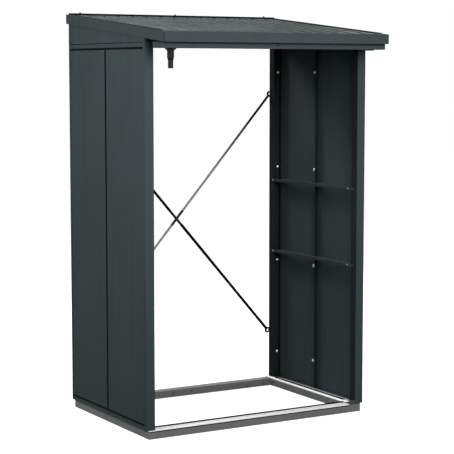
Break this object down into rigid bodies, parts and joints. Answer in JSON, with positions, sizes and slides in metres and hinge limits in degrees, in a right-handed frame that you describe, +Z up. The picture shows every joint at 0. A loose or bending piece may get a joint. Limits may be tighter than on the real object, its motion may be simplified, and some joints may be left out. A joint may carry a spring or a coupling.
{
  "type": "log store",
  "caption": "Tall open metal log store with a sloping ribbed roof, sheet side walls, a front gutter with a spout, a base frame and a cross brace behind the open back.",
  "frame": {"origin": "on the ground, under the middle of the roof", "axes": "+X to the right seen from the front, +Y to the back, +Z up"},
  "size_m": [1.329, 1.12, 2.15],
  "materials": {
    "anthracite_sheet": "satin polyester coat",
    "base_rail": "matt grey coat",
    "floor_rail": "mill finish",
    "brace_steel": "galvanised",
    "black_plastic": "moulded, matt"
  },
  "bodies": {
    "root": {"back_fascia": "anthracite_sheet", "back_header": "anthracite_sheet", "base_back_rail": "base_rail", "base_front_rail": "base_rail", "base_left_rail": "base_rail", "base_right_rail": "base_rail", "drain_cap": "black_plastic", "drain_spout": "black_plastic", "falling_brace_rod": "brace_steel", "falling_brace_sleeve": "black_plastic", "front_fascia": "anthracite_sheet", "front_header": "anthracite_sheet", "front_threshold": "floor_rail", "gutter": "anthracite_sheet", "gutter_left_end_cap": "anthracite_sheet", "gutter_right_end_cap": "anthracite_sheet", "left_back_panel": "anthracite_sheet", "left_back_post": "anthracite_sheet", "left_bottom_trim": "anthracite_sheet", "left_brace_staples": "brace_steel", "left_fascia": "anthracite_sheet", "left_floor_rail": "floor_rail", "left_foot_bracket": "anthracite_sheet", "left_front_panel": "anthracite_sheet", "left_front_post": "anthracite_sheet", "left_gable_panel": "anthracite_sheet", "left_lower_rail": "anthracite_sheet", "left_top_trim": "anthracite_sheet", "left_upper_rail": "anthracite_sheet", "right_back_panel": "anthracite_sheet", "right_back_post": "anthracite_sheet", "right_bottom_trim": "anthracite_sheet", "right_brace_staples": "brace_steel", "right_fascia": "anthracite_sheet", "right_floor_rail": "floor_rail", "right_foot_bracket": "anthracite_sheet", "right_front_panel": "anthracite_sheet", "right_front_post": "anthracite_sheet", "right_gable_panel": "anthracite_sheet", "right_lower_rail": "anthracite_sheet", "right_top_trim": "anthracite_sheet", "right_upper_rail": "anthracite_sheet", "rising_brace_rod": "brace_steel", "rising_brace_sleeve": "black_plastic", "roof_sheet": "anthracite_sheet"}
  },
  "joints": []
}
